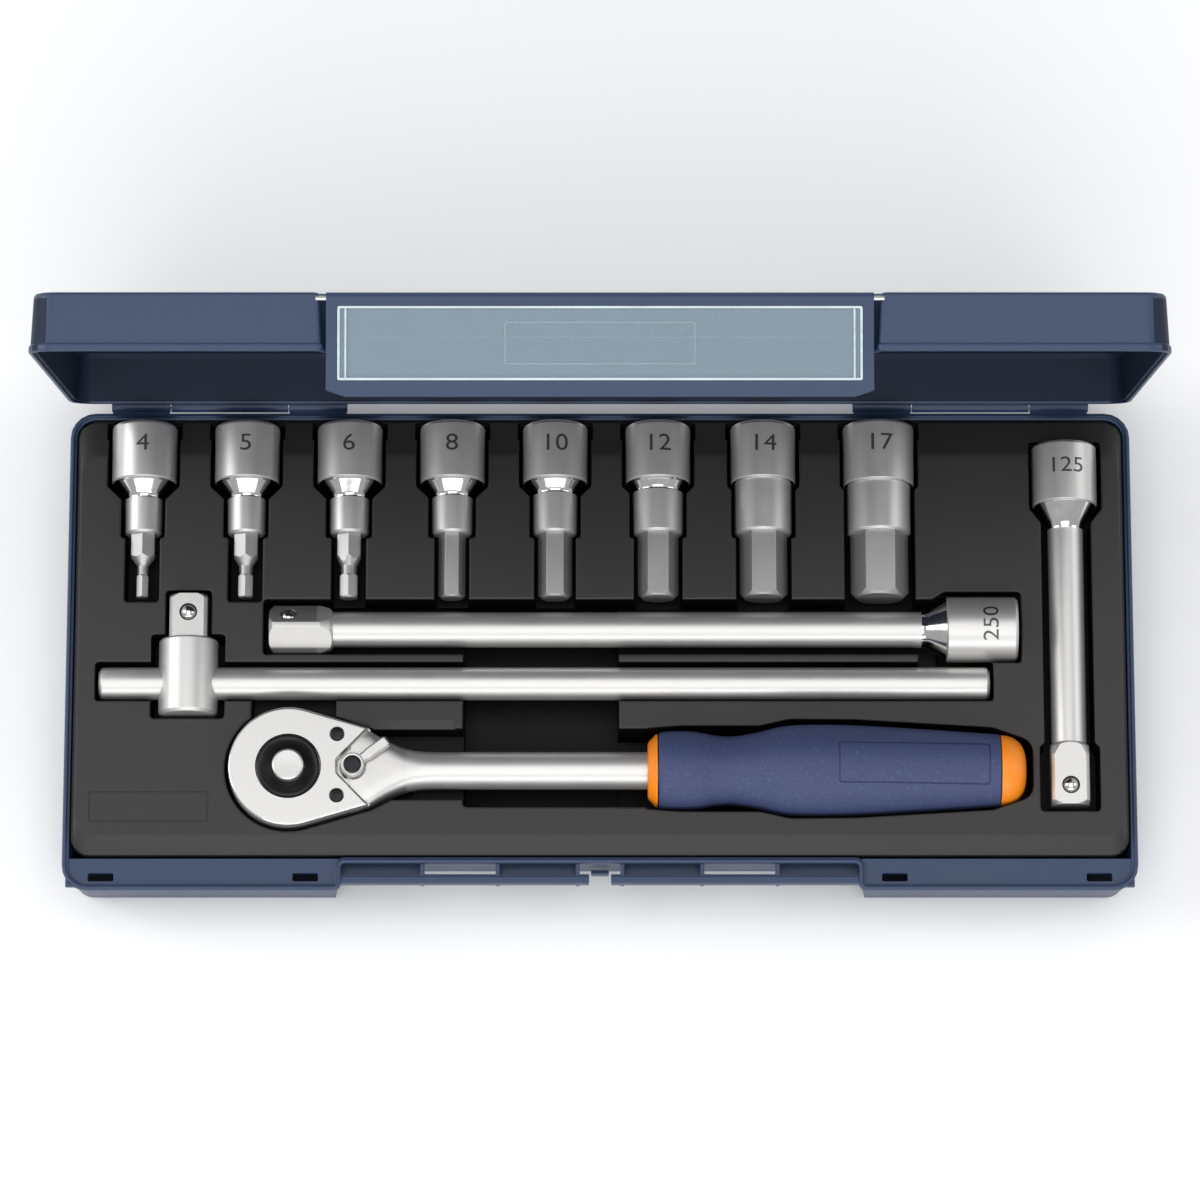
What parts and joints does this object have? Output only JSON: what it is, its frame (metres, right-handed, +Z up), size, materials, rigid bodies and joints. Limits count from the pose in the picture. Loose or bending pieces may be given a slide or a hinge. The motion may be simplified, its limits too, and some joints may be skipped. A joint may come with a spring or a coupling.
{
  "type": "socket wrench set in case",
  "caption": "Half-inch hex-bit sockets, two extension bars, a sliding T-handle and a round-head ratchet in a hinged plastic case with a tool tray and latch flap.",
  "frame": {"origin": "centre of the flat underside of the case's bottom shell", "axes": "+X along the case's length to the right as seen from the latch side, +Y from the latch to the hinges, +Z up"},
  "size_m": [0.36, 0.1861, 0.1983],
  "materials": {
    "case_blue": "fine-grained navy blue moulded plastic",
    "tray_black": "satin black vacuum-formed tray",
    "satin_chrome": "satin chrome plate with polished turned bands",
    "bit_steel": "plain grey hardened steel",
    "spring_steel": "bright steel",
    "dark_steel": "black oxide",
    "grip_navy": "navy soft-touch grip with a fine speckle",
    "orange": "bright orange moulded plastic",
    "clear_window": "clear label window",
    "label_card": "plain grey-blue label insert"
  },
  "bodies": {
    "case_base": {"bottom_shell": "case_blue", "tool_tray": "tray_black", "hinge_pin_left": "spring_steel", "hinge_pin_right": "spring_steel"},
    "lid": {"lid_shell": "case_blue", "flap_pin_left": "spring_steel", "flap_pin_right": "spring_steel"},
    "latch_flap": {"latch_flap": "case_blue", "label_window": "clear_window", "label_card": "label_card"},
    "socket_04": {"socket_04": "satin_chrome", "bit_04": "bit_steel"},
    "socket_05": {"socket_05": "satin_chrome", "bit_05": "bit_steel"},
    "socket_06": {"socket_06": "satin_chrome", "bit_06": "bit_steel"},
    "socket_08": {"socket_08": "satin_chrome", "bit_08": "bit_steel"},
    "socket_10": {"socket_10": "satin_chrome", "bit_10": "bit_steel"},
    "socket_12": {"socket_12": "satin_chrome", "bit_12": "bit_steel"},
    "socket_14": {"socket_14": "satin_chrome", "bit_14": "bit_steel"},
    "socket_17": {"socket_17": "satin_chrome", "bit_17": "bit_steel"},
    "extension_125": {"extension_125_bar": "satin_chrome", "extension_125_spring": "spring_steel"},
    "extension_125_ball": {"extension_125_ball": "spring_steel"},
    "extension_250": {"extension_250_bar": "satin_chrome", "extension_250_spring": "spring_steel"},
    "extension_250_ball": {"extension_250_ball": "spring_steel"},
    "t_handle": {"t_handle_rod": "satin_chrome", "t_handle_head": "satin_chrome", "t_handle_spring": "spring_steel", "rod_detent_ball": "spring_steel", "rod_detent_spring": "spring_steel"},
    "t_handle_ball": {"t_handle_ball": "spring_steel"},
    "ratchet": {"ratchet_body": "satin_chrome", "cover_plate": "satin_chrome", "cover_screw_1": "dark_steel", "cover_screw_2": "dark_steel", "grip": "grip_navy", "grip_collar": "orange", "end_cap": "orange"},
    "drive_gear": {"drive_gear": "satin_chrome", "button_ring": "dark_steel", "button_spring": "spring_steel"},
    "drive_ball": {"drive_ball": "spring_steel"},
    "release_button": {"release_button": "satin_chrome"},
    "reversing_lever": {"reversing_lever": "satin_chrome", "lever_cap": "dark_steel", "pawl_plunger": "bit_steel", "plunger_spring": "spring_steel"},
    "pawl": {"pawl": "bit_steel"}
  },
  "joints": [
    {"name": "lid_hinge", "type": "hinge", "parent": "case_base", "child": "lid", "pos_m": [0, 0.0852, 0.03], "axis": [-1, 0, 0], "range_deg": [-80, 100]},
    {"name": "latch_hinge", "type": "hinge", "parent": "lid", "child": "latch_flap", "pos_m": [0, 0.07322, 0.1964], "axis": [-1, 0, 0], "range_deg": [0, 100]},
    {"name": "socket_04_lift", "type": "slide", "parent": "case_base", "child": "socket_04", "axis": [0, 0, 1], "range_m": [0, 0.06]},
    {"name": "socket_05_lift", "type": "slide", "parent": "case_base", "child": "socket_05", "axis": [0, 0, 1], "range_m": [0, 0.06]},
    {"name": "socket_06_lift", "type": "slide", "parent": "case_base", "child": "socket_06", "axis": [0, 0, 1], "range_m": [0, 0.06]},
    {"name": "socket_08_lift", "type": "slide", "parent": "case_base", "child": "socket_08", "axis": [0, 0, 1], "range_m": [0, 0.06]},
    {"name": "socket_10_lift", "type": "slide", "parent": "case_base", "child": "socket_10", "axis": [0, 0, 1], "range_m": [0, 0.06]},
    {"name": "socket_12_lift", "type": "slide", "parent": "case_base", "child": "socket_12", "axis": [0, 0, 1], "range_m": [0, 0.06]},
    {"name": "socket_14_lift", "type": "slide", "parent": "case_base", "child": "socket_14", "axis": [0, 0, 1], "range_m": [0, 0.06]},
    {"name": "socket_17_lift", "type": "slide", "parent": "case_base", "child": "socket_17", "axis": [0, 0, 1], "range_m": [0, 0.06]},
    {"name": "extension_125_lift", "type": "slide", "parent": "case_base", "child": "extension_125", "axis": [0, 0, 1], "range_m": [0, 0.06]},
    {"name": "extension_250_lift", "type": "slide", "parent": "case_base", "child": "extension_250", "axis": [0, 0, 1], "range_m": [0, 0.06]},
    {"name": "t_handle_lift", "type": "slide", "parent": "case_base", "child": "t_handle", "axis": [0, 0, 1], "range_m": [0, 0.06]},
    {"name": "ratchet_lift", "type": "slide", "parent": "case_base", "child": "ratchet", "axis": [0, 0, 1], "range_m": [0, 0.06]},
    {"name": "extension_125_ball_press", "type": "slide", "parent": "extension_125", "child": "extension_125_ball", "axis": [0, 0, -1], "range_m": [0, 0.0009], "stiffness_N_per_m": 400, "springref_m": -0.0015},
    {"name": "extension_250_ball_press", "type": "slide", "parent": "extension_250", "child": "extension_250_ball", "axis": [0, -0.7071, -0.7071], "range_m": [0, 0.0009], "stiffness_N_per_m": 400, "springref_m": -0.0015},
    {"name": "t_handle_ball_press", "type": "slide", "parent": "t_handle", "child": "t_handle_ball", "axis": [0, 0, -1], "range_m": [0, 0.0009], "stiffness_N_per_m": 400, "springref_m": -0.0015},
    {"name": "drive_spin", "type": "hinge", "parent": "ratchet", "child": "drive_gear", "pos_m": [-0.1043, -0.042, 0.03], "axis": [0, 0, 1], "continuous": true},
    {"name": "drive_ball_press", "type": "slide", "parent": "drive_gear", "child": "drive_ball", "axis": [0, 1, 0], "range_m": [0, 0.0009], "stiffness_N_per_m": 400, "springref_m": -0.0015},
    {"name": "button_press", "type": "slide", "parent": "drive_gear", "child": "release_button", "axis": [0, 0, -1], "range_m": [0, 0.0025], "stiffness_N_per_m": 500, "springref_m": -0.002},
    {"name": "lever_turn", "type": "hinge", "parent": "ratchet", "child": "reversing_lever", "pos_m": [-0.0827, -0.042, 0.038], "axis": [0, 0, 1], "range_deg": [-72, 0]},
    {"name": "pawl_rock", "type": "hinge", "parent": "ratchet", "child": "pawl", "pos_m": [-0.0877, -0.042, 0.029], "axis": [0, 0, 1], "range_deg": [-8, 0]}
  ],
  "couplings": [
    {"joint": "pawl_rock", "follows": "lever_turn", "ratio": 0.1111}
  ]
}
